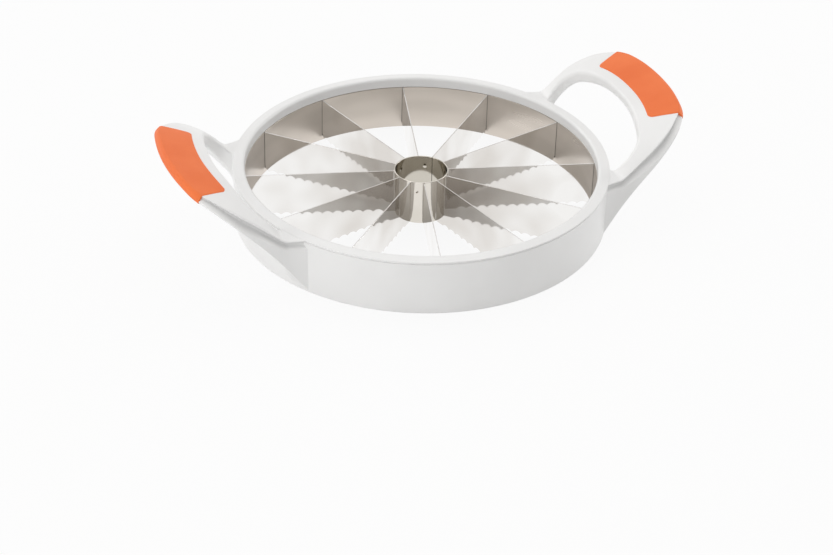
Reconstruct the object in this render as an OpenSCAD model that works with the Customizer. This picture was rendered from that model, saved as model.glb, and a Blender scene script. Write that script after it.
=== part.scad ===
// Push-down melon slicer: a white plastic ring with two raised loop handles and soft grips,
// a steel liner band inside the ring, a core tube, and twelve scalloped blades between them.
// Lengths are in mm. The origin is on the ring's axis at its bottom plane, +X runs along the
// two handles and +Z is up.

/* [Cutter] */
// inner radius of the liner band, which is the cutting radius
liner_radius = 120; // [112:1:130]
// sheet thickness of the liner band
liner_wall = 0.8; // [0.6:0.1:1.2]
// height of the liner band and of the cutter
liner_height = 31.5; // [28:0.5:36]
// sheet thickness of a blade
blade_thickness = 0.7; // [0.5:0.1:1.2]
// length of one scallop along a blade's lower edge
scallop_pitch = 7; // [5:0.5:10]
// depth of one scallop
scallop_depth = 1.6; // [0.8:0.1:2.2]
// flat tooth left between two scallops
scallop_land = 0.5; // [0.3:0.1:1.5]
// cut-off at a blade's lower outer corner
blade_corner = 3; // [1:0.5:5]
// outer radius of the core tube
core_radius = 18.6; // [15:0.2:24]
// wall of the core tube
core_wall = 0.9; // [0.6:0.1:1.5]

/* [Ring] */
// height of plastic above the liner, up to the ring's crown
rim_height = 7.4; // [6.4:0.1:9]
// plastic wall outside the liner, at the top of the ring's wall
ring_wall = 7.3; // [6.5:0.1:10]
// inward lean of the ring's outer wall from top to bottom
ring_draft = 0.2; // [0:0.1:2]
// lip that holds the liner at its top and bottom edges
ring_lip = 0.6; // [0.3:0.1:0.7]
// ledge under the liner
ring_ledge = 1; // [0.8:0.1:2]
// radius of the rounded inner edge at the crown
crown_radius = 2; // [1.2:0.2:4]
// height of the rim's outer lip above the outer wall
rim_lip = 0.7; // [0.6:0.1:1.4]
// overhang of the rim's outer lip
rim_overhang = 0.3; // [0.2:0.1:1]
// fall of the crown from its inner to its outer side
crown_fall = 0.9; // [0.6:0.1:1.5]

/* [Handles] */
// reach of a handle beyond the ring's outer wall
handle_reach = 51.1; // [46:0.1:58]
// width of the loop's front, where the hand holds it
grip_width = 32.2; // [28:0.2:36]
// half of the distance between the outer sides of the two arms
arm_half_span = 69.5; // [64:0.5:76]
// width of an arm
arm_width = 11.5; // [9:0.5:14]
// corner radius of the loop's outer side, in plan
outer_corner = 39; // [34:1:46]
// corner radius of the loop's inner edge, in plan
inner_corner = 18; // [12:1:22]
// set-back of the top edge from the loop's outer side
edge_setback = 1.8; // [1:0.1:3]
// rise of the loop's outer top edge above the arm's root
outer_rise = 37; // [30:0.5:44]
// rise of the loop's inner top edge above the arm's root
inner_rise = 29; // [24:0.5:36]
// thickness of the loop's front at its outer edge
outer_thickness = 5.3; // [4.5:0.1:8]
// thickness of the loop's front at its inner edge
inner_thickness = 8.3; // [7:0.1:11]
// height from the top edge down to the bottom of the hollow under it
cove_drop = 2.4; // [1.6:0.1:3.2]
// depth of that hollow, from the top edge inwards
cove_depth = 1.8; // [0.6:0.1:2.4]

/* [Grips] */
// white strip left between the loop's inner edge and the grip
grip_strip = 8; // [6:0.5:11]
// half of the angle that a grip spans, seen from the ring's axis
grip_half_angle = 15; // [11:0.2:16]
// lean of a grip's end against the radial direction
grip_end_lean = 8.5; // [0:0.5:12]
// corner radius of a grip, in plan
grip_corner = 3.5; // [2:0.5:5]
// thickness of a grip over the loop's surface
grip_skin = 0.5; // [0.4:0.1:1.2]

/* [Hidden] */
$fn = 96;
// number of blades round the core tube
blade_count = 12;
// share of the rise after which an arm leaves its flat root
root_blend = 0.2;
// how late the outer and the inner top edge level out towards the grip
outer_swell = 3.4;
inner_swell = 5.2;
// how the outer and the inner lower edge sweep up from the ring's bottom to the grip
outer_sweep = 1.48;
inner_sweep = 1.2;
// fall of an arm's top face at its root, from the inner to the outer edge
root_fall = 0.4;
// widening of the outer side and of the top edge where they meet the ring, and its length
side_flare = 2.5;
edge_flare = 4.3;
flare_run = 8;
// angle between two sections of a loop
section_step = 5;
// sections along an arm's flat root
root_sections = 5;
// depth by which an arm's flat root is drawn into the ring before it is trimmed
root_depth = 6;
// slack by which a trimming solid passes the face that it trims
slack = 1;
// height by which the core tube stands above the liner
core_stand = 0.5;
// plain stretch of a blade's lower edge beside the core tube
blade_plain = 4;
// radius of the rim's outer edge
rim_edge = 0.4;
// half of the height of the slope under the rim's lip
lip_slope = 0.2;
// distance from the ring's wall, between the arms, to the centre that a loop is drawn round
centre_offset = 3.7;
// crown of the loop's top face
loop_crown = 0.3;
// height of the upright strip at the foot of the outer side
lip_height = 1.3;
// rounding of the loop's edges: inner top, outer top, hollow, strip, outer bottom, inner bottom
inner_round = 3.2;
outer_round = 1.2;
cove_round = 1.6;
lip_round = 1;
low_round = 0.9;
inner_low_round = 4.5;
// share of a side that one rounded corner may take
corner_room = 0.45;
// extra corner radius of the top edge against the outer side, in plan
edge_corner_extra = 3;
// angle at the loop's centre to which a grip is drawn before its ends are cut
grip_draw_angle = 65;

liner_outer = liner_radius + liner_wall;
liner_bottom = ring_ledge;
liner_top = liner_bottom + liner_height;
lip_radius = liner_outer - ring_lip;
wall_top_radius = liner_outer + ring_wall;
wall_bottom_radius = wall_top_radius - ring_draft;
rim_radius = wall_top_radius + rim_overhang;
ring_height = liner_top + rim_height;
root_top = ring_height - crown_fall - rim_lip;
core_top = liner_top + core_stand;
blade_angle = 360 / blade_count;

arm_inner = arm_half_span - arm_width;
front_outer = wall_top_radius + handle_reach;
front_inner = front_outer - grip_width;
loop_centre = sqrt(pow(wall_top_radius, 2) - pow(arm_inner, 2)) + centre_offset;
root_start = sqrt(pow(wall_bottom_radius, 2) - pow(arm_half_span + side_flare, 2));
grip_inner = front_inner + grip_strip;

function blade_name(i) = str("blade_", i < 10 ? "0" : "", i);

// point of a circle
function on_circle(centre, radius, angle) = centre + radius * [cos(angle), sin(angle)];

// far crossing of a circle with the ray that leaves [start, 0] at an angle
function ray_on_circle(start, angle, centre, radius) =
    let (
        dir = [cos(angle), sin(angle)],
        off = [start, 0] - centre,
        b = off * dir
    )
    -b + sqrt(b * b - off * off + radius * radius);

// distance from the loop's centre to a plan edge: a straight arm at y = half, a corner arc, and
// a front arc round the ring's axis that the corner arc meets smoothly
function edge_distance(angle, half, corner, front) =
    let (
        a = abs(angle),
        corner_y = half - corner,
        corner_x = sqrt(pow(front - corner, 2) - corner_y * corner_y),
        arm = half / max(sin(a), 0.001),
        arc = ray_on_circle(loop_centre, a, [corner_x, corner_y], corner),
        hit = [loop_centre + arc * cos(a) - corner_x, arc * sin(a) - corner_y]
    )
    loop_centre + arm * cos(a) <= corner_x ? arm
    : atan2(hit[1], hit[0]) >= atan2(corner_y, corner_x) ? arc
    : ray_on_circle(loop_centre, a, [0, 0], front);

// share of the rise that an edge has reached: it leaves the flat root softly, then levels out
function rise_share(angle, swell) =
    let (u = 1 - pow(min(abs(angle) / 90, 1), swell))
    u * u * (1 + root_blend) / (u + root_blend);

// height at x of a lower edge, which sweeps up from the ring's bottom to its full height at tip
function sweep_height(x, high, tip, sweep) =
    max(0, high * (1 - pow(max(0, tip - x) / (tip - root_start), sweep)));

// distance to an outer line, which widens softly towards the ring
function flared_distance(base, angle, half, corner, front, flare) =
    let (plain = edge_distance(angle, half, corner, front))
    plain + flare * exp(min(0, (root_start - base - plain * cos(angle)) / flare_run));

// one section of the loop, [base x, angle, inner distance, width at the top edge, width at the
// side, inner top, outer top, inner low, outer low]: distances run from the base along the angle
function loop_section(base, angle) =
    let (
        near = edge_distance(angle, arm_inner, inner_corner, front_inner),
        edge = flared_distance(base, angle, arm_half_span - edge_setback,
            outer_corner + edge_corner_extra, front_outer - edge_setback, edge_flare),
        side = flared_distance(base, angle, arm_half_span, outer_corner, front_outer, side_flare),
        inner_root = root_top + root_fall,
        top_in = inner_root + (inner_rise - root_fall) * rise_share(angle, inner_swell),
        top_out = root_top + outer_rise * rise_share(angle, outer_swell),
        front_low_in = root_top + inner_rise - inner_thickness,
        front_low_out = root_top + outer_rise - outer_thickness,
        low_in = sweep_height(base + near * cos(angle), front_low_in, front_inner, inner_sweep),
        low_out = sweep_height(base + side * cos(angle), front_low_out, front_outer, outer_sweep)
    )
    [base, angle, near, edge - near, side - near, top_in, top_out, low_in, low_out];

// sections from one root over the loop to the other root
root_step = (loop_centre - root_start + root_depth) / root_sections;
half_loop = concat(
    [for (i = [root_sections:-1:1]) loop_section(loop_centre - i * root_step, 90)],
    [for (a = [90:-section_step:section_step]) loop_section(loop_centre, a)]
);
loop_sections = concat(
    [for (s = half_loop) loop_section(s[0], -s[1])],
    [loop_section(loop_centre, 0)],
    [for (i = [len(half_loop) - 1:-1:0]) half_loop[i]]
);
grip_sections = [for (s = loop_sections) if (abs(s[1]) <= grip_draw_angle) s];

function unit(v) = v / norm(v);

// directions from corner k of an outline to the corners before and after it
function back_side(corners, k) = corners[(k + len(corners) - 1) % len(corners)] - corners[k];
function ahead_side(corners, k) = corners[(k + 1) % len(corners)] - corners[k];

// corner k of an outline as an arc of three points, with a smaller radius where the sides are short
function round_corner(corners, k, radius) =
    let (
        back = back_side(corners, k),
        ahead = ahead_side(corners, k),
        half = acos(unit(back) * unit(ahead)) / 2,
        reach = min(radius / tan(half), corner_room * norm(back), corner_room * norm(ahead)),
        bend = reach * (1 / cos(half) - tan(half))
    )
    [
        corners[k] + reach * unit(back),
        corners[k] + bend * unit(unit(back) + unit(ahead)),
        corners[k] + reach * unit(ahead)
    ];

// corner k of an outline moved out, so that both its sides move out by a distance
function moved_corner(corners, k, distance) =
    let (
        back = unit(back_side(corners, k)),
        ahead = unit(ahead_side(corners, k)),
        half = acos(back * ahead) / 2
    )
    corners[k] - distance / sin(half) * unit(back + ahead);

// corners of the loop on its outside: inner top, top edge, and the two of the strip at the foot,
// then the inner bottom
function hull_corners(s) =
    [
        [0, s[5]],
        [s[3], s[6]],
        [s[4], s[8] + min(lip_height, 0.25 * (s[6] - s[8]))],
        [s[4], s[8]],
        [0, s[7]]
    ];

// the same with the bottom of the hollow after the top edge
function loop_corners(s) =
    let (hull = hull_corners(s))
    [
        hull[0],
        hull[1],
        hull[1] - [cove_depth, min(cove_drop, corner_room * (s[6] - s[8]))],
        hull[2],
        hull[3],
        hull[4]
    ];

loop_rounds = [inner_round, outer_round, cove_round, lip_round, low_round, inner_low_round];
grip_rounds = [inner_round, outer_round, lip_round, low_round] + grip_skin * [0, 1, 1, 1];

// crest of the top face, halfway between its edges
function top_crest(s) = [s[3] / 2, (s[5] + s[6]) / 2 + loop_crown];

// arcs at the loop's corners
function loop_arcs(s) =
    let (corners = loop_corners(s))
    [for (k = [0:len(corners) - 1]) round_corner(corners, k, loop_rounds[k])];

// outline of the loop: top face, outer edge with its hollow, underside, rounded inner edge
function loop_outline(s) =
    let (arcs = loop_arcs(s))
    concat(arcs[0], [top_crest(s)], [for (k = [1:len(arcs) - 1]) each arcs[k]]);

// the stretch of it that a grip lies on: from the top face round the outer side to the underside
function grip_seat(s) =
    let (arcs = loop_arcs(s))
    concat([arcs[0][2], top_crest(s)], [for (k = [1:4]) each arcs[k]]);

// outside of a grip: over the loop at the height of the skin, straight past the hollow
function grip_cover(s) =
    let (
        seat = grip_seat(s),
        hull = hull_corners(s),
        moved = [for (k = [0:len(hull) - 1]) moved_corner(hull, k, grip_skin)],
        skin = [0, grip_skin]
    )
    concat(
        [seat[0] + skin, seat[1] + skin],
        [for (k = [1:3]) each round_corner(moved, k, grip_rounds[k])]
    );

// outline of a grip: its outside, then back along its seat
function grip_outline(s) =
    let (seat = grip_seat(s))
    concat(grip_cover(s), [for (k = [len(seat) - 1:-1:0]) seat[k]]);

function place(s, p) = [s[0] + (s[2] + p[0]) * cos(s[1]), (s[2] + p[0]) * sin(s[1]), p[1]];

// closed solid through a row of outlines that all have the same number of points: the walls
// from the point number turned on split the other way, so that they match the face they lie on
module loft(rows, turned = 1000) {
    n = len(rows[0]);
    last = len(rows) - 1;
    walls = [
        for (i = [0:last - 1], j = [0:n - 1])
            let (a = i * n + j, b = i * n + (j + 1) % n)
            each j < turned ? [[a, b + n, b], [a, a + n, b + n]] : [[a, a + n, b], [b, a + n, b + n]]
    ];
    ends = [
        [for (j = [0:n - 1]) j],
        [for (j = [n - 1:-1:0]) last * n + j]
    ];
    polyhedron([for (row = rows) each row], concat(walls, ends));
}

// plan of a grip: its inner edge, two rounded corners, and two leaning ends
function grip_corner_half() =
    let (
        lean = grip_half_angle + grip_end_lean,
        normal = [-sin(lean), cos(lean)],
        along = [cos(lean), sin(lean)],
        reach = normal * on_circle([0, 0], grip_inner, grip_half_angle) - grip_corner,
        ring = grip_inner + grip_corner,
        centre = reach * normal + sqrt(ring * ring - reach * reach) * along,
        seat = atan2(centre[1], centre[0]),
        turn = 90 + seat - lean,
        steps = 6
    )
    concat(
        [for (k = [0:steps - 1]) on_circle([0, 0], grip_inner, seat * k / (steps - 1))],
        [for (k = [1:steps]) on_circle(centre, grip_corner, seat - 180 - turn * k / steps)],
        [centre + grip_corner * normal + 2 * grip_width * along]
    );

module grip_plan() {
    half = grip_corner_half();
    n = len(half);
    polygon(concat(
        half,
        [for (k = [n - 1:-1:1]) [half[k][0], -half[k][1]]]
    ));
}

module grip_solid() {
    cover_points = len(grip_cover(grip_sections[0]));
    intersection() {
        loft([for (s = grip_sections) [for (p = grip_outline(s)) place(s, p)]], cover_points);
        linear_extrude(2 * (root_top + outer_rise))
            grip_plan();
    }
}

module handle_solid() {
    difference() {
        loft([for (s = loop_sections) [for (p = loop_outline(s)) place(s, p)]]);
        rotate_extrude()
            polygon(concat(
                [[0, ring_height], [rim_radius, ring_height]],
                outer_wall,
                [[wall_bottom_radius, -slack], [0, -slack]]
            ));
    }
}

// outer side of the ring below its rim: the underside of the lip, then the leaning wall
outer_wall = [
    [rim_radius, root_top + lip_slope],
    [wall_top_radius, root_top - lip_slope],
    [wall_bottom_radius, 0]
];

// profile of the ring: an outer wall with draft, a rim with a rounded crown and a small lip over
// the wall, and a seat for the liner
module ring_profile() {
    crown = [lip_radius + crown_radius, ring_height - crown_radius];
    edge = min(rim_edge, rim_lip - lip_slope);
    rim = [rim_radius - edge, ring_height - crown_fall - edge];
    step = rim - crown;
    tilt = atan2(step[1], step[0]) + acos((crown_radius - edge) / norm(step));
    polygon(concat(
        [[lip_radius, liner_top]],
        [for (k = [0:8]) on_circle(crown, crown_radius, 180 + (tilt - 180) * k / 8)],
        [for (k = [0:4]) on_circle(rim, edge, tilt * (1 - k / 4))],
        outer_wall,
        [
            [lip_radius, 0],
            [lip_radius, liner_bottom],
            [liner_outer, liner_bottom],
            [liner_outer, liner_top]
        ]
    ));
}

module frame_ring() {
    color("white")
        rotate_extrude()
            ring_profile();
}

module handle_right() {
    color("white")
        handle_solid();
}

module handle_left() {
    color("white")
        rotate([0, 0, 180])
            handle_solid();
}

module grip_right() {
    color("darkorange")
        grip_solid();
}

module grip_left() {
    color("darkorange")
        rotate([0, 0, 180])
            grip_solid();
}

module liner_band() {
    color("silver")
        translate([0, 0, liner_bottom])
            difference() {
                cylinder(h = liner_height, r = liner_outer);
                translate([0, 0, -slack])
                    cylinder(h = liner_height + 2 * slack, r = liner_radius);
            }
}

module core_tube() {
    color("silver")
        translate([0, 0, liner_bottom])
            difference() {
                cylinder(h = core_top - liner_bottom, r = core_radius);
                translate([0, 0, -slack])
                    cylinder(h = core_top - liner_bottom + 2 * slack, r = core_radius - core_wall);
            }
}

// side view of a blade: straight top, scalloped lower edge, cut-off outer corner
module blade_side() {
    chord = scallop_pitch - scallop_land;
    arc_radius = (chord * chord / 4 + scallop_depth * scallop_depth) / (2 * scallop_depth);
    scallops = floor((liner_radius - core_radius - blade_corner - blade_plain) / scallop_pitch);
    first = liner_radius - blade_corner - scallop_pitch / 2;
    difference() {
        polygon([
            [core_radius - slack, liner_bottom],
            [liner_radius - blade_corner, liner_bottom],
            [liner_radius, liner_bottom + blade_corner],
            [liner_radius + slack, liner_bottom + blade_corner],
            [liner_radius + slack, liner_top],
            [core_radius - slack, liner_top]
        ]);
        for (k = [0:scallops - 1])
            translate([first - k * scallop_pitch, liner_bottom + scallop_depth - arc_radius])
                circle(arc_radius);
    }
}

// a blade runs from the outside of the core tube to the inside of the liner
module blade(i) {
    color("silver")
        rotate([0, 0, (i - 0.5) * blade_angle])
            difference() {
                intersection() {
                    translate([0, blade_thickness / 2, 0])
                        rotate([90, 0, 0])
                            linear_extrude(blade_thickness)
                                blade_side();
                    cylinder(h = ring_height, r = liner_radius);
                }
                translate([0, 0, -slack])
                    cylinder(h = ring_height + 2 * slack, r = core_radius);
            }
}

frame_ring();
handle_left();
handle_right();
grip_left();
grip_right();
liner_band();
core_tube();
for (i = [1:blade_count])
    blade(i);
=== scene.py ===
import bpy
import numpy as np
from mathutils import Matrix, Vector


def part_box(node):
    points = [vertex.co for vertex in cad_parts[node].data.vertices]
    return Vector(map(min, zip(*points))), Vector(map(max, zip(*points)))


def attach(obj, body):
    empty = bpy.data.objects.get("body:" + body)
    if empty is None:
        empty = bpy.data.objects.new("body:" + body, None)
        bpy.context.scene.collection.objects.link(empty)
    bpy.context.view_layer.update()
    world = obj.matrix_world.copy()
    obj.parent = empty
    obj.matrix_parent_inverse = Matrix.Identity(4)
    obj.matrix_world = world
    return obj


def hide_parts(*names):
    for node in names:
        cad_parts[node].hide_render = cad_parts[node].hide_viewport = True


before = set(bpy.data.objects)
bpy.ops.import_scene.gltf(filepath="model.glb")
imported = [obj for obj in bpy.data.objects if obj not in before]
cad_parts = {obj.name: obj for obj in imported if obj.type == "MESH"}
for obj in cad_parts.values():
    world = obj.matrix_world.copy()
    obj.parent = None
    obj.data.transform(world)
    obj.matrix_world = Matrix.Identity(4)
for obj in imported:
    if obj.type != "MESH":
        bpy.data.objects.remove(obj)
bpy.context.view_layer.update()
mm = 0.001  # shapes are worked out in millimetres and stored in metres
print("frame loaded:", len(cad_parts), "nodes")


# Shapes: outlines, grids and the pieces made from them


def boxMm(node):
    # lowest and highest corner of a node of the frame, in millimetres
    low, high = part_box(node)
    return np.array(low) / mm, np.array(high) / mm


filletFit = dict(
    guard=1.25,  # distance of the guard points from a corner, as a multiple of the arc's reach
    room=0.98,  # share of a side that the arcs and guards at its two ends may take up
)


def filletOutline(corners, radii, steps):
    # A closed outline with round corners. Each corner is a circular arc: a rational curve from a point on
    # one side to a point on the next, pulled to the corner by the sine of half the angle between the sides.
    # A guard point on the straight side follows at each end, so that the flats shade flat.
    guard = filletFit["guard"]
    back = np.roll(corners, 1, axis=-2) - corners
    ahead = np.roll(corners, -1, axis=-2) - corners
    aheadLength = np.linalg.norm(ahead, axis=-1)
    back = back / np.linalg.norm(back, axis=-1)[..., None]
    ahead = ahead / aheadLength[..., None]
    half = 0.5 * np.arccos(np.clip((back * ahead).sum(-1), -1, 1))
    reach = radii / np.tan(half)
    room = filletFit["room"] * aheadLength / (guard * (reach + np.roll(reach, -1, axis=-1)))
    room = np.minimum(room, 1)
    reach = (reach * np.minimum(room, np.roll(room, 1, axis=-1)))[..., None, None]
    part = np.linspace(0, 1, steps)[:, None]
    rest = 1 - part
    corner = corners[..., None, :]
    back = back[..., None, :]
    ahead = ahead[..., None, :]
    pull = 2 * np.sin(half)[..., None, None] * part * rest
    start = corner + reach * back
    end = corner + reach * ahead
    arc = (rest**2 * start + pull * corner + part**2 * end) / (rest**2 + pull + part**2)
    return np.concatenate([corner + guard * reach * back, arc, corner + guard * reach * ahead], axis=-2)


def joinArcs(arcs):
    # the points of an outline's arcs in one row
    return arcs.reshape(*arcs.shape[:-3], -1, arcs.shape[-1])


def stackCorners(corners):
    # corners given as pairs of arrays, as one array of outlines
    return np.stack([np.stack(corner, axis=-1) for corner in corners], axis=-2)


def revolve(outline, angles):
    # radius and height of the outline, carried round the vertical axis
    radius = outline[None, :, 0]
    turn = angles[:, None]
    height = np.broadcast_to(outline[None, :, 1], (len(angles), len(outline)))
    return np.stack([radius * np.cos(turn), radius * np.sin(turn), height], axis=-1)


def turnAbout(points, degrees):
    # points turned about the vertical axis
    cosine, sine = np.cos(np.radians(degrees)), np.sin(np.radians(degrees))
    return points @ np.array([[cosine, sine, 0], [-sine, cosine, 0], [0, 0, 1]])


def gridFaces(rows, columns, closeRows=True, closeColumns=True):
    # quads between neighbouring rows and columns of a grid, which may close on itself either way
    row = np.arange(rows if closeRows else rows - 1)[:, None]
    column = np.arange(columns if closeColumns else columns - 1)[None, :]
    nextRow = (row + 1) % rows
    nextColumn = (column + 1) % columns
    around = [(row, column), (row, nextColumn), (nextRow, nextColumn), (nextRow, column)]
    return np.stack([r * columns + c for r, c in around], axis=-1).reshape(-1, 4)


def endCaps(rows, columns):
    # the first and the last row of a grid as polygons
    return [range(columns - 1, -1, -1), range((rows - 1) * columns, rows * columns)]


def makePiece(name, node, points, faces, finish, caps=(), marks=None):
    # quads and end caps of a closed shell, turned so that its faces look outwards: the signed volume of the
    # wedges between the quads and the origin tells which way they look
    material, slotName = finish
    points = np.asarray(points, float).reshape(-1, 3)
    a, b, c, d = (points[faces[:, k]] for k in range(4))
    volume = (a * (np.cross(b, c) + np.cross(c, d))).sum()
    polygons = faces.tolist() + [list(cap) for cap in caps]
    if volume < 0:
        polygons = [polygon[::-1] for polygon in polygons]
    mesh = bpy.data.meshes.new(name)
    mesh.from_pydata((points * mm).tolist(), [], polygons)
    mesh.polygons.foreach_set("use_smooth", np.arange(len(polygons)) < len(faces))
    for label, values in (marks or {}).items():
        layer = mesh.attributes.new(label, "FLOAT", "POINT")
        layer.data.foreach_set("value", np.ascontiguousarray(values, np.float32).ravel())
    mesh.materials.append(material)
    mesh.update()
    piece = bpy.data.objects.new(name, mesh)
    bpy.context.scene.collection.objects.link(piece)
    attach(piece, "root")
    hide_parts(node)


# Materials


mixSockets = dict(first=6, second=7, result=2)  # places of a Mix node's colour sockets
noiseSpan = (0.3, 0.7)  # most values of a noise lie between these


def fillSocket(tree, socket, value):
    # another node's output is linked, a plain value is set
    if isinstance(value, bpy.types.NodeSocket):
        tree.links.new(value, socket)
    else:
        socket.default_value = value


def fillNode(tree, node, inputs):
    # sockets of a node, filled by name
    for key, value in inputs.items():
        fillSocket(tree, node.inputs[key], value)


def addNode(tree, kind, settings=None, **inputs):
    # a node with its settings, and with its named sockets filled
    node = tree.nodes.new(kind)
    for key, value in (settings or {}).items():
        setattr(node, key, value)
    fillNode(tree, node, inputs)
    return node


def addMath(tree, operation, *values):
    # one operation on values that fill the sockets in order
    node = addNode(tree, "ShaderNodeMath", dict(operation=operation))
    for socket, value in zip(node.inputs, values):
        fillSocket(tree, socket, value)
    return node.outputs[0]


def addNoise(tree, place, scale, detail):
    # a cloudy value from 0 to 1 over the piece
    return addNode(tree, "ShaderNodeTexNoise", Vector=place, Scale=scale, Detail=detail).outputs["Fac"]


def addBump(tree, height, strength, distance):
    # a direction that makes the surface look raised by a value
    bump = addNode(tree, "ShaderNodeBump", Height=height, Strength=strength, Distance=distance)
    return bump.outputs["Normal"]


def readMark(tree, label):
    # a mark that a piece carries on its points
    return addNode(tree, "ShaderNodeAttribute", dict(attribute_name=label)).outputs["Fac"]


def mixColours(tree, share, first, second):
    # the first colour where the share is 0, the second where it is 1
    node = addNode(tree, "ShaderNodeMix", dict(data_type="RGBA"), Factor=share)
    fillSocket(tree, node.inputs[mixSockets["first"]], first)
    fillSocket(tree, node.inputs[mixSockets["second"]], second)
    return node.outputs[mixSockets["result"]]


def spread(tree, value, low, high):
    # carries a noise value from its middle stretch to the range from low to high
    ends = {"From Min": noiseSpan[0], "From Max": noiseSpan[1], "To Min": low, "To Max": high}
    return addNode(tree, "ShaderNodeMapRange", Value=value, **ends).outputs["Result"]


def startMaterial(name):
    # a new material with its shader, and the places on the piece that its patterns follow
    material = bpy.data.materials.new(name)
    material.use_nodes = True
    tree = material.node_tree
    place = addNode(tree, "ShaderNodeTexCoord").outputs["Object"]
    return material, tree, tree.nodes["Principled BSDF"], place


plasticLook = dict(
    light=(0.84, 0.84, 0.835, 1),
    shade=(0.80, 0.80, 0.795, 1),
    # greyer colour painted as shade in the loops' coves and on the ring's face above the liner
    hollow=(0.69, 0.69, 0.685, 1),
    roughness=(0.27, 0.36),
    ior=1.47,
    cloud=(22, 3),  # scale and detail of the clouds
    grain=(1700, 2),  # the same of the grain
    grainBump=(0.25, 0.00002),  # strength and depth of the grain
)


def whitePlastic():
    # moulded gloss plastic: faint flow clouds in colour and gloss, a fine mould grain, and painted shade, a
    # greyer tone where the piece's painted shade mark is set
    look = plasticLook
    material, tree, shader, place = startMaterial("whitePlastic")
    cloud = addNoise(tree, place, *look["cloud"])
    grain = addNoise(tree, place, *look["grain"])
    clouded = mixColours(tree, spread(tree, cloud, 0, 1), look["light"], look["shade"])
    fillNode(tree, shader, {
        "Base Color": mixColours(tree, readMark(tree, "hollow"), clouded, look["hollow"]),
        "Roughness": spread(tree, cloud, *look["roughness"]),
        "IOR": look["ior"],
        "Normal": addBump(tree, grain, *look["grainBump"]),
    })
    return material


gripLook = dict(
    light=(0.87, 0.19, 0.045, 1),
    shade=(0.81, 0.155, 0.03, 1),
    roughness=(0.5, 0.62),
    specular=0.35,
    sheen=0.04,
    cloud=(30, 4),
    grain=(2600, 2),
    grainBump=(0.35, 0.00004),
)


def softGrip():
    # soft rubber: a matt skin with a fine grain and a little cloudiness
    look = gripLook
    material, tree, shader, place = startMaterial("softGrip")
    cloud = addNoise(tree, place, *look["cloud"])
    grain = addNoise(tree, place, *look["grain"])
    fillNode(tree, shader, {
        "Base Color": mixColours(tree, spread(tree, cloud, 0, 1), look["light"], look["shade"]),
        "Roughness": spread(tree, grain, *look["roughness"]),
        "Specular IOR Level": look["specular"],
        "Sheen Weight": look["sheen"],
        "Normal": addBump(tree, grain, *look["grainBump"]),
    })
    return material


steelLook = dict(
    seam=(0.045, 0.04, 0.035, 1),
    mottle=0.8,  # how far the smudges move the colour between bright and the painted shade colour
    smudgeDetail=1,
    wave=(9, 2),  # scale and detail of the waves
    waveStrength=0.5,
)
# each steel's own colour, bright, and the darker colour of its painted shade, which its fade mark lays on
linerLook = dict(
    bright=(0.71, 0.645, 0.58, 1),
    paintedShade=(0.55, 0.50, 0.445, 1),
    roughness=(0.27, 0.35),
    waveDepth=0.0004,
    smudgeScale=(14, 14, 55),  # the larger last number draws the smudges into level streaks
)
coreLook = dict(
    bright=(0.74, 0.70, 0.64, 1),
    paintedShade=(0.60, 0.565, 0.50, 1),
    roughness=(0.05, 0.1),
    waveDepth=0.0001,
    smudgeScale=(40, 40, 40),
)
bladeLook = dict(
    bright=(0.89, 0.88, 0.865, 1),
    paintedShade=(0.72, 0.69, 0.655, 1),
    roughness=(0.03, 0.07),
    waveDepth=0.0001,
    smudgeScale=(38, 38, 38),
)


def polishedSteel(name, look):
    # rolled and polished steel sheet: painted shade that darkens it by the piece's own fade mark, with a
    # little mottling, soft smudges in its gloss, slow waves in the sheet, and a dark line where the piece's
    # seam mark is set
    material, tree, shader, place = startMaterial(name)
    drawn = addNode(tree, "ShaderNodeMapping", Vector=place, Scale=look["smudgeScale"]).outputs["Vector"]
    smudge = addNoise(tree, drawn, 1, steelLook["smudgeDetail"])
    wave = addNoise(tree, place, *steelLook["wave"])
    mottled = spread(tree, smudge, -0.5, 0.5)
    share = addMath(tree, "MULTIPLY_ADD", mottled, steelLook["mottle"], readMark(tree, "fade"))
    sheet = mixColours(tree, share, look["bright"], look["paintedShade"])
    fillNode(tree, shader, {
        "Base Color": mixColours(tree, readMark(tree, "seam"), sheet, steelLook["seam"]),
        "Roughness": spread(tree, smudge, *look["roughness"]),
        "Metallic": 1,
        "Normal": addBump(tree, wave, steelLook["waveStrength"], look["waveDepth"]),
    })
    return material


# each finish is a material and the name of its slot
plasticFinish = (whitePlastic(), "white_plastic")
gripFinish = (softGrip(), "soft_grip")
linerFinish = (polishedSteel("linerSteel", linerLook), "liner_steel")
coreFinish = (polishedSteel("coreSteel", coreLook), "core_steel")
bladeFinish = (polishedSteel("bladeSteel", bladeLook), "blade_steel")
print("materials ready")


# Ring: an almost upright outer wall, a thin lip over it, a falling top face and a rounded inner edge


ringSize = dict(
    lipRadius=120.2,  # inner face above the liner
    seatRadius=120.85,  # inner face behind the liner
    wallTop=128.1,
    wallBottom=127.9,
    wallEnd=37.3,  # height at which the wall ends in the fine groove under the lip
    wallEdge=0.3,  # height of the wall's slanted upper edge
    grooveDepth=0.7,
    lipFoot=38.5,  # height of the outer lip's lower edge
    lipSlope=0.2,
    topFall=0.159,  # fall of the top face for each millimetre outwards
    topMiddle=(125.5, 39.4),  # a point of the top face, radius and height
    rounds=(0.35, 2, 0.4, 0.1, 0.1, 0.2, 0.3, 0.7, 0.1, 0.1),  # from the liner's top over the rim and round
    arcSteps=9,
    wallShade=0.4,  # painted shade on the face above the liner
    segments=600,
)

ringHigh = boxMm("frame_ring")[1]
linerLow, linerHigh = boxMm("liner_band")
coreLow, coreHigh = boxMm("core_tube")
rimRadius = ringHigh[0]
linerBottom, linerTop = linerLow[2], linerHigh[2]


def ringTopAt(radius):
    # height of the top face, which falls evenly outwards
    middleRadius, middleHeight = ringSize["topMiddle"]
    return middleHeight - ringSize["topFall"] * (radius - middleRadius)


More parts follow.
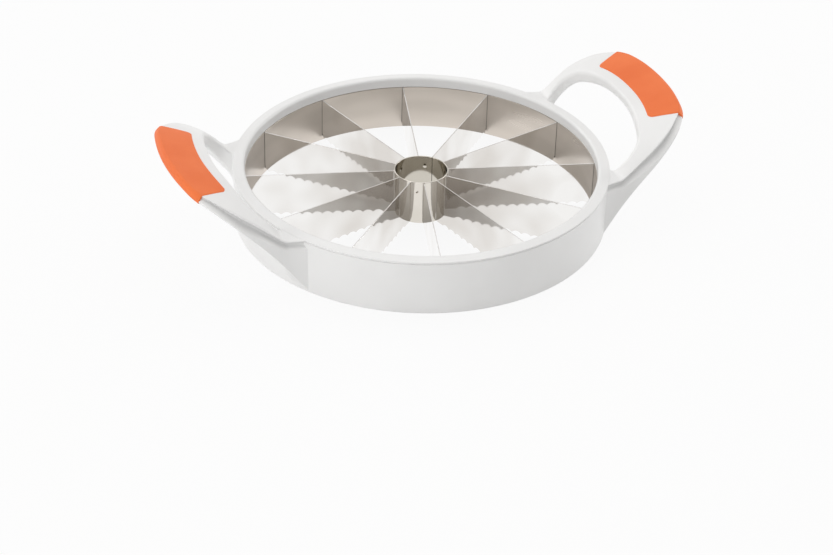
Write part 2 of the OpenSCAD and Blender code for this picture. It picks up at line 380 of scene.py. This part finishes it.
def makeRing():
    # an outline of ten round corners, carried round the axis; painted shade on the face above the liner
    # fades out over the inner edge
    size = ringSize
    lip, seat, foot = size["lipRadius"], size["seatRadius"], size["lipFoot"]
    groove = size["wallTop"] - size["grooveDepth"]
    corners = np.array([
        (lip, linerTop),
        (lip, ringTopAt(lip)),
        (rimRadius, ringTopAt(rimRadius)),
        (rimRadius, foot),
        (groove, foot - size["lipSlope"]),
        (groove, size["wallEnd"]),
        (size["wallTop"], size["wallEnd"] - size["wallEdge"]),
        (size["wallBottom"], 0),
        (seat, 0),
        (seat, linerTop),
    ])
    arcs = filletOutline(corners, np.array(size["rounds"]), size["arcSteps"])
    outline = joinArcs(arcs)
    # painted shade: darker on the face above the liner, fading out over the inner top edge
    shade = np.zeros(arcs.shape[:2])
    shade[0] = size["wallShade"]
    shade[1] = size["wallShade"] * np.clip(1 - 2 * np.linspace(0, 1, arcs.shape[1]), 0, 1)
    angles = np.linspace(0, 2 * np.pi, size["segments"], endpoint=False)
    hollow = np.broadcast_to(shade.ravel(), (len(angles), len(outline)))
    faces = gridFaces(len(angles), len(outline))
    points = revolve(outline, angles)
    makePiece("ring", "frame_ring", points, faces, plasticFinish, marks=dict(hollow=hollow))
    print("ring made:", len(faces), "faces")


makeRing()


# Handles: a loop carried round a centre beside the ring, with a gusset down to the ring's bottom


loopSize = dict(
    centreOffset=3.7,  # distance of the loop's centre from the place where the arms meet the ring
    innerEdge=(58, 18, 147),  # half span of the arms, corner radius and front radius of the hole
    topEdge=(67.7, 42, 177.4),  # the same of the top face's outer edge
    sideEdge=(69.5, 39, 179.2),  # the same of the widest line, low on the outer side
    topFlare=4.3,  # widening of the two outer lines at the ring
    sideFlare=2.5,
    flareRun=8,
    innerFlare=-9.5,  # the same of the hole's edge, which rounds off its corners at the ring
    innerFlareRun=7,
    outerRise=(38.3, 37),  # height of the outer top edge at the root, and its rise to the front
    innerRise=(38.7, 28.6),
    outerSwell=3.4,  # how late each top edge levels out towards the front
    innerSwell=5.2,
    rootBlend=0.2,  # softness with which it leaves the root
    outerLow=(70, 1.48),  # height of the outer lower edge at the front, and the power of its sweep
    innerLow=(59, 1.2),
    coveDepth=3.3,
    coveDrop=(2.4, 4.2, 0.52),  # drop to its bottom at the root and along the arm, and its limit as a share
    coveEnd=(5.2, 8.6, 0.92),  # the same of the shoulder below the cove
    coveGrow=10,  # rise of the top edge over which the cove gets wider
    coveStart=(42, 8),  # angle at which the cove begins beside a grip, and the angle over which it deepens
    coveRest=0.1,  # share of its depth that is left beside a grip
    lip=1.3,  # height of the upright strip at the widest line
    lipShare=0.25,  # most that the strip takes of the side's height
    crown=0.3,  # rise of the top face in its middle
    rounds=(3.2, 0.8, 1.8, 1.2, 1.0, 0.9, 4.5),  # from the inner top edge round the outside
    rootRound=0.7,  # radius of the inner top edge beside the ring
    rootRoundRun=6,
    arcSteps=8,
    topSteps=7,
    rimMeet=(127.6, 38.72),  # radius and height at which an arm's top face meets the rim
    rootRun=3.5,  # length over which it is drawn up to that height
    rootLift=(1, 3),  # depths below that height between which the drawing up ends
    rootSink=0.8,  # depth to which an arm runs into the ring's wall
    rootRows=16,
    angleStep=1,
    leastSine=0.001,  # keeps the reach of a straight arm finite at the front
)

armInner = loopSize["innerEdge"][0]
rootX = np.sqrt(ringSize["wallTop"] ** 2 - armInner**2)  # where an arm's inner edge meets the ring
loopCentre = rootX + loopSize["centreOffset"]
wallFoot = np.sqrt(ringSize["wallBottom"] ** 2 - (loopSize["sideEdge"][0] + loopSize["sideFlare"]) ** 2)


def rayOnCircle(angle, centre, radius):
    # distance from the loop's centre to the far side of a circle, along a ray at an angle, and no number
    # where the ray misses the circle
    offX, offY = loopCentre - centre[0], -centre[1]
    along = offX * np.cos(angle) + offY * np.sin(angle)
    with np.errstate(invalid="ignore"):
        return -along + np.sqrt(along**2 - offX**2 - offY**2 + radius**2)


def edgeDistance(angle, half, corner, front):
    # distance to a plan edge: a straight arm at y = half, a corner arc, and a front arc about the axis
    turn = np.abs(angle)
    cornerY = half - corner
    cornerX = np.sqrt((front - corner) ** 2 - cornerY**2)
    arm = half / np.maximum(np.sin(turn), loopSize["leastSine"])
    arc = rayOnCircle(turn, (cornerX, cornerY), corner)
    hit = np.arctan2(arc * np.sin(turn) - cornerY, loopCentre + arc * np.cos(turn) - cornerX)
    bow = rayOnCircle(turn, (0, 0), front)
    curved = np.where(hit >= np.arctan2(cornerY, cornerX), arc, bow)
    return np.where(loopCentre + arm * np.cos(turn) <= cornerX, arm, curved)


def riseHeight(angle, rise, swell):
    # height of a top edge: it leaves the flat root softly, then levels out towards the front
    blend = loopSize["rootBlend"]
    climb = 1 - np.minimum(np.abs(angle) / (np.pi / 2), 1) ** swell
    return rise[0] + rise[1] * climb * climb * (1 + blend) / (climb + blend)


def sweepHeight(x, tip, low):
    # height of a lower edge: a power curve from the ring's bottom up to the loop's front
    high, power = low
    fall = np.maximum(0, tip - x) / (tip - wallFoot)
    return np.maximum(0, high * (1 - fall**power))


def flaredEdge(base, angle, line, flare, start, run):
    # distance to one of the plan edges, which flares softly towards the ring
    plain = edgeDistance(angle, *line)
    x = base + plain * np.cos(angle)
    return plain + flare * np.exp(np.minimum(0, start - x) / run)


def loopSections(base, angle):
    # sizes of the sections that leave (base, 0) at an angle: distance of the inner edge, widths at the top
    # edge and at the widest line, and four heights
    size = loopSize
    near = flaredEdge(base, angle, size["innerEdge"], size["innerFlare"], rootX, size["innerFlareRun"])
    edge = flaredEdge(base, angle, size["topEdge"], size["topFlare"], wallFoot, size["flareRun"])
    side = flaredEdge(base, angle, size["sideEdge"], size["sideFlare"], wallFoot, size["flareRun"])
    innerX, outerX = base + near * np.cos(angle), base + side * np.cos(angle)
    return dict(
        base=base, angle=angle, near=near, width=edge - near, side=side - near, innerX=innerX,
        topIn=riseHeight(angle, size["innerRise"], size["innerSwell"]),
        topOut=riseHeight(angle, size["outerRise"], size["outerSwell"]),
        lowIn=sweepHeight(innerX, size["innerEdge"][2], size["innerLow"]),
        lowOut=sweepHeight(outerX, size["sideEdge"][2], size["outerLow"]),
    )


def crownRise(section, across):
    # rise of the top face's low crown: a parabola from its inner to its outer edge
    share = across / section["width"][:, None]
    return 4 * loopSize["crown"] * share * (1 - share)


def topFace(section, across):
    # height of the loop's top face at a distance from the inner edge: straight across, and the crown
    share = across / section["width"][:, None]
    straight = section["topIn"][:, None] * (1 - share) + section["topOut"][:, None] * share
    return straight + crownRise(section, across)


def hullCorners(section):
    # corners of each section on its outside: inner top, top edge, two of the lip, inner bottom
    width, side = section["width"], section["side"]
    topOut, lowOut = section["topOut"], section["lowOut"]
    lip = np.minimum(loopSize["lip"], loopSize["lipShare"] * (topOut - lowOut))
    inner = 0 * width
    upper = [(inner, section["topIn"]), (width, topOut)]
    return upper + [(side, lowOut + lip), (side, lowOut), (inner, section["lowIn"])]


def roundCorners(corners, section, rounds):
    # circular arcs at the corners: the inner top edge gets sharper beside the ring
    size = loopSize
    corners = stackCorners(corners)
    radii = np.tile(np.array(rounds), (len(corners), 1))
    near = np.exp(np.minimum(0, rootX - section["innerX"]) / size["rootRoundRun"])
    radii[:, 0] += (size["rootRound"] - radii[:, 0]) * near
    return filletOutline(corners, radii, size["arcSteps"])


def coveShare(section):
    # share of the cove's full depth: it rises softly from a small rest beside a grip to one on the arms
    start, run = loopSize["coveStart"]
    rest = loopSize["coveRest"]
    share = np.clip((np.degrees(np.abs(section["angle"])) - start) / run, 0, 1)
    return rest + (1 - rest) * share * share * (3 - 2 * share)


def coveDropAt(levels, grown, tall):
    # drop below the top edge: it grows from the root's to the arm's, up to a share of the side's height
    root, arm, part = levels
    return np.minimum(root + (arm - root) * grown, part * tall)


def loopArcs(section):
    # arcs of the loop itself, which has the bottom of a cove and a shoulder after its top edge
    size = loopSize
    corners = hullCorners(section)
    (width, topOut), (side, strip) = corners[1:3]
    tall = topOut - strip
    grown = np.clip((topOut - size["outerRise"][0]) / size["coveGrow"], 0, 1)
    drop = coveDropAt(size["coveDrop"], grown, tall)
    end = coveDropAt(size["coveEnd"], grown, tall)
    bottom = width - size["coveDepth"] * coveShare(section)
    shoulder = width + (side - width) * end / tall
    corners[2:2] = [(bottom, topOut - drop), (shoulder, topOut - end)]
    return roundCorners(corners, section, size["rounds"])


def topRow(section, start, end, steps):
    # points of the top face between two distances from the inner edge
    share = np.linspace(0, 1, steps + 2)[1:-1]
    across = start[:, None] * (1 - share) + end[:, None] * share
    return np.stack([across, topFace(section, across)], axis=-1)


def loopOutline(section):
    # the loop's arcs with the crown laid over the two top ones, and a row of points across the top face
    arcs = loopArcs(section)
    for k in (0, 1):
        arcs[:, k, :, 1] += crownRise(section, arcs[:, k, :, 0])
    top = topRow(section, arcs[:, 0, -1, 0], arcs[:, 1, 0, 0], loopSize["topSteps"])
    return np.concatenate([arcs[:, 0], top, joinArcs(arcs[:, 1:])], axis=1)


def placeOutline(section, outline):
    # distances from the inner edge become places in plan, along the section's own direction
    reach = section["near"][:, None] + outline[..., 0]
    angle = section["angle"][:, None]
    x = section["base"][:, None] + reach * np.cos(angle)
    return np.stack([x, reach * np.sin(angle), outline[..., 1]], axis=-1)


def wallRadius(height):
    # radius of the ring's outer wall, straight from its bottom to its top
    share = np.clip(height / ringSize["wallEnd"], 0, 1)
    return ringSize["wallBottom"] + (ringSize["wallTop"] - ringSize["wallBottom"]) * share


def liftRoot(points):
    # the top of an arm runs out softly into the rim: it is drawn up to the rim's height, less with the
    # distance, and not where it lies too far below
    radius, height = loopSize["rimMeet"]
    full, none = loopSize["rootLift"]
    run = np.maximum(0, np.hypot(points[..., 0], points[..., 1]) - radius) / loopSize["rootRun"]
    missing = np.maximum(0, height - points[..., 2])
    points[..., 2] += missing * np.exp(-run) * np.clip((none - missing) / (none - full), 0, 1)
    return points


def loopGrid():
    # half turn of sections round the loop's centre, then straight roots that end on the ring's curved wall
    size = loopSize
    count = int(90 / size["angleStep"])
    angle = np.radians(np.linspace(-90, 90, 2 * count + 1))
    bend = loopSections(np.full_like(angle, loopCentre), angle)
    bendPoints = placeOutline(bend, loopOutline(bend))
    share = np.linspace(0, 1, size["rootRows"], endpoint=False)
    root = loopSections(wallFoot + share * (loopCentre - wallFoot), np.full_like(share, np.pi / 2))
    rootPoints = placeOutline(root, loopOutline(root))
    y, z = rootPoints[..., 1], rootPoints[..., 2]
    wallX = np.sqrt((wallRadius(z) - size["rootSink"]) ** 2 - y**2)
    rootPoints[..., 0] += (1 - share)[:, None] * (wallX - wallFoot)
    mirrored = rootPoints * np.array([1, -1, 1])
    return liftRoot(np.concatenate([mirrored, bendPoints, rootPoints[::-1]]))


def makeHandles():
    # the same loop on both sides of the ring, with painted shade on the bottom of its cove
    grid = loopGrid()
    rows, columns = grid.shape[:2]
    arc = loopSize["arcSteps"] + 2  # points of an arc and its two guards
    first = 2 * arc + loopSize["topSteps"]
    # painted shade along the bottom of the cove
    hollow = np.zeros((rows, columns))
    hollow[:, first:first + arc] = 1
    faces = gridFaces(rows, columns, closeRows=False)
    caps = endCaps(rows, columns)
    for name, node, turn in (("handleRight", "handle_right", 0), ("handleLeft", "handle_left", 180)):
        turned = turnAbout(grid, turn)
        makePiece(name, node, turned, faces, plasticFinish, caps, dict(hollow=hollow))
    print("handles made:", len(faces), "faces each")


makeHandles()


# Grips: soft covers that follow the front of each loop, over its top and down its outer side


gripSize = dict(
    strip=8,  # white strip left between the loop's inner edge and the grip
    halfAngle=15.0,  # half of the angle that a grip spans, seen from the ring's axis
    endLean=8.5,  # lean of its ends against the radial direction
    corner=3.5,
    skin=0.48,  # thickness over the loop's surface
    rounds=(3.2, 2.2, 1.5, 0.9, 4.5),
    softEdge=0.9,  # distance over which the skin is rounded off towards an edge
    sunk=0.6,  # depth of the grip's hidden back under the loop's surface
    topRows=26,
    columns=161,
    searchSteps=36,
    searchAngle=65,  # angle by which every row has ended
)

gripInner = loopSize["innerEdge"][2] + gripSize["strip"]


def gripPaths(angle):
    # points across a grip at each angle, from its inner edge over the top face and down the outer side: a
    # smooth line over the cove for the skin, and the loop's own line through the cove for the hidden back
    section = loopSections(np.full_like(angle, loopCentre), angle)
    own = loopArcs(section)
    hull = roundCorners(hullCorners(section), section, gripSize["rounds"])
    start = rayOnCircle(angle, (0, 0), gripInner) - section["near"]
    share = 1 - np.cos(np.linspace(0, np.pi / 2, gripSize["topRows"], endpoint=False))
    coveCount = 2 * own.shape[2]  # the smooth line has as many points here as the cove's two arcs
    side = np.linspace(hull[:, 1, -1], hull[:, 2, 0], coveCount + 2, axis=1)[:, 1:-1]
    smooth = np.concatenate([hull[:, 1], side, hull[:, 2], hull[:, 3]], axis=1)
    paths = []
    for line in (smooth, joinArcs(own[:, 1:-1])):
        across = start[:, None] + (line[:, 0, 0] - start)[:, None] * share
        top = np.stack([across, topFace(section, across)], axis=-1)
        paths.append(np.concatenate([top, line], axis=1))
    return section, *paths


def gripEndGap(section, path):
    # plan distance from each point to the leaning end of the grip, less what its round corner takes away
    size = gripSize
    place = placeOutline(section, path)
    half, lean = np.radians(size["halfAngle"]), np.radians(size["halfAngle"] + size["endLean"])
    endX, endY = gripInner * np.cos(half), gripInner * np.sin(half)
    toEnd = (place[..., 0] - endX) * np.sin(lean) - (np.abs(place[..., 1]) - endY) * np.cos(lean)
    fromInner = np.hypot(place[..., 0], place[..., 1]) - gripInner
    missing = np.clip(size["corner"] - fromInner, 0, size["corner"])
    return toEnd - size["corner"] + np.sqrt(size["corner"] ** 2 - missing**2)


def gripEndAngles():
    # angle at which each row of the grip ends, found by halving
    rows = gripPaths(np.zeros(1))[1].shape[1]
    low, high = np.zeros(rows), np.full(rows, np.radians(gripSize["searchAngle"]))
    for _ in range(gripSize["searchSteps"]):
        middle = 0.5 * (low + high)
        section, skin, _ = gripPaths(middle)
        inside = np.diagonal(gripEndGap(section, skin)) > 0
        low, high = np.where(inside, middle, low), np.where(inside, high, middle)
    return low


def outwards(path):
    # direction square to a path: its slope, a quarter turn on
    slope = np.gradient(path, axis=1)
    normal = np.stack([-slope[..., 1], slope[..., 0]], axis=-1)
    return normal / np.linalg.norm(normal, axis=-1, keepdims=True)


def gripLayers():
    # outer and hidden side of the grip: points of its two lines moved along the section's normal, with the
    # skin rounded off towards every edge as a quarter circle is
    size = gripSize
    ends = gripEndAngles()
    rows = len(ends)
    share = np.sin(np.linspace(-np.pi / 2, np.pi / 2, size["columns"]))
    angle = (ends[:, None] * share).ravel()
    section, skin, back = gripPaths(angle)
    steps = np.linalg.norm(np.diff(skin, axis=1), axis=-1)
    walked = np.concatenate([np.zeros((len(skin), 1)), np.cumsum(steps, axis=1)], axis=1)
    gap = np.minimum(walked, walked[:, -1:] - walked)
    gap = np.clip(np.minimum(gap, gripEndGap(section, skin)), 0, size["softEdge"])
    rise = size["skin"] * np.sqrt(1 - (1 - gap / size["softEdge"]) ** 2)
    pick = np.arange(len(angle)), np.repeat(np.arange(rows), size["columns"])
    layers = []
    for path, height in ((skin, rise), (back, np.full_like(rise, -size["sunk"]))):
        moved = placeOutline(section, path + height[..., None] * outwards(path))
        layers.append(moved[pick].reshape(rows, size["columns"], 3))
    return layers


def makeGrips():
    # outer and hidden side joined to a closed shell, with a strip of quads at each end
    outer, hidden = gripLayers()
    shell = np.concatenate([outer, hidden[::-1]])
    rows, columns = shell.shape[:2]
    faces = gridFaces(rows, columns, closeColumns=False)
    first = np.arange(rows // 2 - 1)
    caps = []
    for column, flip in ((0, 1), (columns - 1, -1)):
        loop = [first, first + 1, rows - 2 - first, rows - 1 - first][::flip]
        caps.extend(np.stack([row * columns + column for row in loop], axis=-1).tolist())
    for name, node, turn in (("gripRight", "grip_right", 0), ("gripLeft", "grip_left", 180)):
        makePiece(name, node, turnAbout(shell, turn), faces, gripFinish, caps)
    print("grips made:", len(faces), "faces each")


makeGrips()


# Cutter: liner band, core tube and blades


bladeSize = dict(
    count=12,
    thickness=0.7,
    pitch=7,  # of the scallops
    depth=1.6,
    land=0.5,  # flat tooth between two scallops
    corner=3,  # cut-off lower corner at the liner
    plain=4,  # least straight stretch of the lower edge at the tube
    bevel=1.6,  # height of the ground bevel above the cutting edge
    edge=0.16,  # thickness of the cutting edge
    rounds=(0.12, 0.12, 1.0, 0.05, 0.05, 1.0),
    arcSteps=4,
    weld=0.4,  # swell of the blade where it is welded to the tube
    weldRun=0.4,
    weldSink=0.15,  # how far the blade runs into the tube, and into the liner
    endSink=0.1,
    endLine=(0.3, 0.2),  # start of the dark line before the outer end, and the run over which it darkens
    paintedShade=(110, 20),  # radii between which a blade is painted darker inwards, as painted shade
    samples=14,  # stations along one scallop
    weldSteps=(0, 0.1, 0.25, 0.45, 0.7, 1.0, 1.5, 2.2),  # stations from the inner end
    plainSteps=(3, 8),  # distance of the next one, and their number as far as the first scallop
    endSteps=(0, 0.2, 0.4, 0.7, 1.0, 1.4),  # stations from the outer end
    cornerSteps=(1.8, 6),  # distance of the next one, and their number as far as the last scallop
)
linerSize = dict(
    inner=120.0,
    outer=120.8,
    topGap=0.1,
    foot=0.15,
    rounds=(0.2, 0.2, 0.2, 0.25),
    arcSteps=5,
    rows=24,
    faceDepth=0.1,  # points no deeper than this belong to the inner face
    seamHalf=0.38,
    seamSoft=0.2,
    seamSteps=(0, 0.5, 1, 1.4, 2.2),  # columns beside a blade, as multiples of the seam's half width
    between=40,  # columns from one blade to the next
    fade=(0.35, 0.7),  # painted shade at the bottom and at the top, darker towards the top
)
coreSize = dict(
    wall=0.9,
    rounds=(0.25, 0.25, 0.4, 0.4),
    arcSteps=7,
    rowGap=1,  # distance of the first and the last row from the tube's ends
    rows=80,
    segments=480,
    dimpleStep=60,  # angle from one weld dimple to the next
    dimpleHeight=25.8,
    dimpleRadius=0.9,
    dimpleDepth=0.35,
    seamAngle=43,
    seamHalf=0.22,
    fade=(0.25, 1),  # painted shade outside and inside, darker inside
    insideFrom=0.5,  # depth from the outer face at which the inside begins
)
bladeAngles = (np.arange(bladeSize["count"]) + 0.5) * 360 / bladeSize["count"]


def makeLiner():
    # a thin band with a narrow dark line on each side of every blade's end; the columns are close together
    # at the blades and even between them
    size = linerSize
    inner, outer, bottom, top = size["inner"], size["outer"], size["foot"], linerTop - size["topGap"]
    corners = np.array([(inner, bottom), (outer, bottom), (outer, top), (inner, top)])
    arcs = filletOutline(corners, np.array(size["rounds"]), size["arcSteps"])
    height = np.linspace(top, bottom, size["rows"])[1:-1]
    inside = np.stack([np.full_like(height, inner), height], axis=-1)
    outline = np.concatenate([joinArcs(arcs), inside])
    beside = np.array(size["seamSteps"]) * size["seamHalf"] / inner
    half = np.pi / bladeSize["count"]
    wide = np.linspace(beside[-1], half, size["between"] // 2)[1:]
    offsets = np.concatenate([beside, wide])
    offsets = np.concatenate([-offsets[:0:-1], offsets])[:-1]
    angles = (np.radians(bladeAngles)[:, None] + offsets).ravel()
    distance = np.abs(np.tile(offsets, bladeSize["count"])) * inner
    seam = np.clip((size["seamHalf"] + size["seamSoft"] - distance) / size["seamSoft"], 0, 1)
    rise = outline[:, 1] - linerBottom
    onBlade = (outline[:, 0] < inner + size["faceDepth"]) & (rise > bladeSize["corner"])
    # painted shade on the band, darker towards its top
    low, high = size["fade"]
    fade = low + (high - low) * np.clip(rise / (linerTop - linerBottom), 0, 1)
    marks = dict(seam=seam[:, None] * onBlade, fade=fade + 0 * seam[:, None])
    faces = gridFaces(len(angles), len(outline))
    makePiece("linerBand", "liner_band", revolve(outline, angles), faces, linerFinish, marks=marks)
    print("liner made:", len(faces), "faces")


def makeCore():
    # a rolled tube with a butt seam, and a shallow weld dimple, the shape of a bell curve, halfway between
    # every second pair of blades
    size = coreSize
    outer = coreHigh[0]
    inner = outer - size["wall"]
    bottom, top = coreLow[2], coreHigh[2]
    corners = np.array([(inner, bottom), (outer, bottom), (outer, top), (inner, top)])
    arcs = filletOutline(corners, np.array(size["rounds"]), size["arcSteps"])
    rise = np.linspace(bottom + size["rowGap"], top - size["rowGap"], size["rows"])[:, None]
    outside = np.concatenate([np.full_like(rise, outer), rise], axis=1)
    inside = np.concatenate([np.full_like(rise, inner), rise[::-1]], axis=1)
    outline = np.concatenate([joinArcs(arcs[:2]), outside, joinArcs(arcs[2:]), inside])
    angles = np.linspace(0, 2 * np.pi, size["segments"], endpoint=False)
    grid = revolve(outline, angles)
    radius = np.hypot(grid[..., 0], grid[..., 1])
    turn = np.degrees(angles)[:, None]
    step = size["dimpleStep"]
    across = np.radians((turn + step / 2) % step - step / 2) * radius
    off = np.hypot(across, grid[..., 2] - size["dimpleHeight"]) / size["dimpleRadius"]
    pressed = radius - size["dimpleDepth"] * np.exp(-(off**2))
    grid[..., :2] *= (pressed / radius)[..., None]
    fromSeam = np.abs((turn - size["seamAngle"] + 180) % 360 - 180)
    seam = np.clip(1 - np.radians(fromSeam) * outer / (2 * size["seamHalf"]), 0, 1) + 0 * radius
    # painted shade, darker on the inside of the tube
    outsideFade, insideFade = size["fade"]
    fade = np.where(radius < outer - size["insideFrom"], insideFade, outsideFade)
    faces = gridFaces(len(angles), len(outline))
    makePiece("coreTube", "core_tube", grid, faces, coreFinish, marks=dict(seam=seam, fade=fade))
    print("core tube made:", len(faces), "faces")


def bladeStations():
    # distances from the axis at which a blade is cut across, close together at its ends and along every
    # scallop, and the distances of the first and the last scallop's end
    size = bladeSize
    start, end = coreHigh[0] - size["weldSink"], linerSize["inner"] + size["endSink"]
    lastX = linerSize["inner"] - size["corner"]
    scallops = int((lastX - coreHigh[0] - size["plain"]) // size["pitch"])
    along = lastX - np.linspace(0, scallops, scallops * size["samples"] + 1) * size["pitch"]
    firstX = along[-1]
    plainFrom, plainCount = size["plainSteps"]
    cornerFrom, cornerCount = size["cornerSteps"]
    plain = np.linspace(plainFrom, firstX - start, plainCount)[:-1]
    corner = np.linspace(cornerFrom, end - lastX, cornerCount)[:-1]
    inward = start + np.concatenate([size["weldSteps"], plain])
    outward = end - np.concatenate([size["endSteps"], corner])
    return np.concatenate([inward, along[::-1], outward[::-1]]), firstX, lastX


def bladeFoot(x, firstX, lastX):
    # height of the lower edge: circular scallops with flat teeth between, then a cut-off outer corner
    size = bladeSize
    chord = size["pitch"] - size["land"]
    radius = (chord**2 / 4 + size["depth"] ** 2) / (2 * size["depth"])
    off = (lastX - x) % size["pitch"] - size["pitch"] / 2
    arch = np.sqrt(np.maximum(radius**2 - off**2, 0)) - (radius - size["depth"])
    arch = np.where((x >= firstX) & (x <= lastX), np.maximum(arch, 0), 0)
    return linerBottom + arch + np.maximum(0, x - lastX)


def bladeGrid():
    # a section carried out along a radius: round top edge, flat faces, and a ground lower edge at the
    # scallop's height; it swells towards the weld
    size = bladeSize
    x, firstX, lastX = bladeStations()
    foot = bladeFoot(x, firstX, lastX)
    half = size["thickness"] / 2 + size["weld"] * np.exp((x[0] - x) / size["weldRun"])
    tip = half * size["edge"] / size["thickness"]
    top = np.full_like(x, linerTop)
    bevel = foot + size["bevel"]
    upper = [(-half, top), (half, top)]
    lower = [(half, bevel), (tip, foot), (-tip, foot), (-half, bevel)]
    corners = stackCorners(upper + lower)
    section = joinArcs(filletOutline(corners, np.array(size["rounds"]), size["arcSteps"]))
    along = np.broadcast_to(x[:, None], section.shape[:2])
    lineStart, lineRun = size["endLine"]
    seam = np.clip((along - linerSize["inner"] + lineStart) / lineRun, 0, 1)
    # painted shade on the blade, darker towards the tube
    brightRadius, shadedRadius = size["paintedShade"]
    fade = np.clip((brightRadius - along) / (brightRadius - shadedRadius), 0, 1)
    return np.stack([along, section[..., 0], section[..., 1]], axis=-1), dict(seam=seam, fade=fade)


def makeBlades():
    # one blade, turned to each of its places
    grid, marks = bladeGrid()
    rows, columns = grid.shape[:2]
    faces = gridFaces(rows, columns, closeRows=False)
    caps = endCaps(rows, columns)
    for k, angle in enumerate(bladeAngles, start=1):
        turned = turnAbout(grid, angle)
        makePiece(f"blade{k:02d}", f"blade_{k:02d}", turned, faces, bladeFinish, caps, marks)
    print("blades made:", len(faces), "faces each")


makeLiner()
makeCore()
makeBlades()


# Stage: camera, floor and light


cameraView = dict(
    aimHeight=0.0325,
    distance=1.4526,
    azimuth=22.165,
    elevation=30.099,
    pan=0.047,
    tilt=2.911,
    roll=1.553,
    focalPixels=2122.985,
    frameWidth=833,
    sensor=36,
    clipEnd=50,
)


def addCamera():
    # stands back from the ring's axis, then pans, tilts and rolls about its own axes
    view = cameraView
    turn = Matrix.Rotation(-np.radians(view["azimuth"]), 4, "Z")
    back = turn @ Vector((0, -np.cos(np.radians(view["elevation"])), np.sin(np.radians(view["elevation"]))))
    right = turn @ Vector((1, 0, 0))
    up = back.cross(right)
    aim = Matrix((right, up, back)).transposed().to_4x4()
    swing = Matrix.Rotation(np.radians(view["pan"]), 4, "Y")
    nod = Matrix.Rotation(-np.radians(view["tilt"]), 4, "X")
    lean = Matrix.Rotation(np.radians(view["roll"]), 4, "Z")
    camera = bpy.data.objects.new("camera", bpy.data.cameras.new("camera"))
    bpy.context.scene.collection.objects.link(camera)
    camera.data.sensor_width = view["sensor"]
    camera.data.lens = view["focalPixels"] / view["frameWidth"] * view["sensor"]
    camera.data.clip_end = view["clipEnd"]
    place = Vector((0, 0, view["aimHeight"])) + back * view["distance"]
    camera.matrix_world = Matrix.Translation(place) @ aim @ swing @ nod @ lean
    bpy.context.scene.camera = camera


floorLook = dict(
    size=8,
    colour=(0.8, 0.8, 0.8, 1),
    roughness=0.9,
    specular=0,
    cameraGlow=0.9,  # share of plain white that the camera sees
    mirrorGlow=1,  # the same in a mirror image
    deepGlow=0.3,  # the same in a mirror image of a mirror image
    deepFrom=1.5,  # number of mirror images above which the last one holds
)


def addFloor():
    # a pale sheet that keeps soft shadows: it looks white to the camera and in the steel, less in a mirror
    # image of a mirror image
    look = floorLook
    half = look["size"] / 2
    mesh = bpy.data.meshes.new("floor")
    corners = [(-half, -half, 0), (half, -half, 0), (half, half, 0), (-half, half, 0)]
    mesh.from_pydata(corners, [], [(0, 1, 2, 3)])
    material = bpy.data.materials.new("paleFloor")
    material.use_nodes = True
    tree = material.node_tree
    shader = tree.nodes["Principled BSDF"]
    fillNode(tree, shader, {
        "Base Color": look["colour"],
        "Roughness": look["roughness"],
        "Specular IOR Level": look["specular"],
    })
    white = addNode(tree, "ShaderNodeEmission", Strength=1.0)
    path = addNode(tree, "ShaderNodeLightPath").outputs
    deep = addMath(tree, "GREATER_THAN", path["Glossy Depth"], look["deepFrom"])
    less = look["deepGlow"] - look["mirrorGlow"]
    mirror = addMath(tree, "MULTIPLY_ADD", deep, less, look["mirrorGlow"])
    through = addMath(tree, "MULTIPLY_ADD", path["Is Glossy Ray"], mirror, path["Is Transmission Ray"])
    share = addMath(tree, "MULTIPLY_ADD", path["Is Camera Ray"], look["cameraGlow"], through)
    mix = addNode(tree, "ShaderNodeMixShader", Fac=share)
    tree.links.new(shader.outputs["BSDF"], mix.inputs[1])
    tree.links.new(white.outputs["Emission"], mix.inputs[2])
    tree.links.new(mix.outputs["Shader"], tree.nodes["Material Output"].inputs["Surface"])
    mesh.materials.append(material)
    floor = bpy.data.objects.new("floor", mesh)
    bpy.context.scene.collection.objects.link(floor)


worldLook = dict(
    colour=(1.0, 0.99, 0.98, 1),
    bright=0.82,
    dark=0.48,
    darkSide=(0.13, -0.95, 0.28),  # direction from the object to the unlit side of the room
    darkStart=0.1,
)
lamps = (
    dict(name="topLight", place=(0.3, 0.5, 1.6), size=1.6, power=5.4),
    dict(name="leftLight", place=(-1.7, -0.4, 0.3), size=1.2, power=8),
    dict(name="rightLight", place=(1.8, -0.1, 0.35), size=0.8, power=6),
    dict(name="frontLight", place=(-0.9, -1.7, 0.5), size=1.0, power=3.6),
    dict(name="backLight", place=(-0.7, 1.9, 1.15), size=1.2, power=4.5),
)


def addWorld():
    # a pale room that gets darker towards one side
    look = worldLook
    world = bpy.data.worlds.new("paleRoom")
    bpy.context.scene.world = world
    world.use_nodes = True
    tree = world.node_tree
    direction = addNode(tree, "ShaderNodeTexCoord").outputs["Generated"]
    towards = addNode(tree, "ShaderNodeVectorMath", dict(operation="DOT_PRODUCT"))
    fillSocket(tree, towards.inputs[0], direction)
    fillSocket(tree, towards.inputs[1], look["darkSide"])
    fade = addNode(tree, "ShaderNodeMapRange", dict(interpolation_type="SMOOTHSTEP"))
    fillNode(tree, fade, {
        "Value": towards.outputs["Value"],
        "From Min": look["darkStart"],
        "To Min": look["bright"],
        "To Max": look["dark"],
    })
    fillNode(tree, tree.nodes["Background"], dict(Color=look["colour"], Strength=fade.outputs["Result"]))


def addLamps():
    # round soft lamps, all aimed at the origin
    for lamp in lamps:
        light = bpy.data.lights.new(lamp["name"], "AREA")
        light.shape = "DISK"
        light.size = lamp["size"]
        light.energy = lamp["power"]
        holder = bpy.data.objects.new(lamp["name"], light)
        bpy.context.scene.collection.objects.link(holder)
        place = Vector(lamp["place"])
        holder.location = place
        holder.rotation_euler = (-place).to_track_quat("-Z", "Y").to_euler()


addCamera()
addFloor()
addWorld()
addLamps()
bpy.context.scene.view_settings.view_transform = "Standard"
print("stage set")
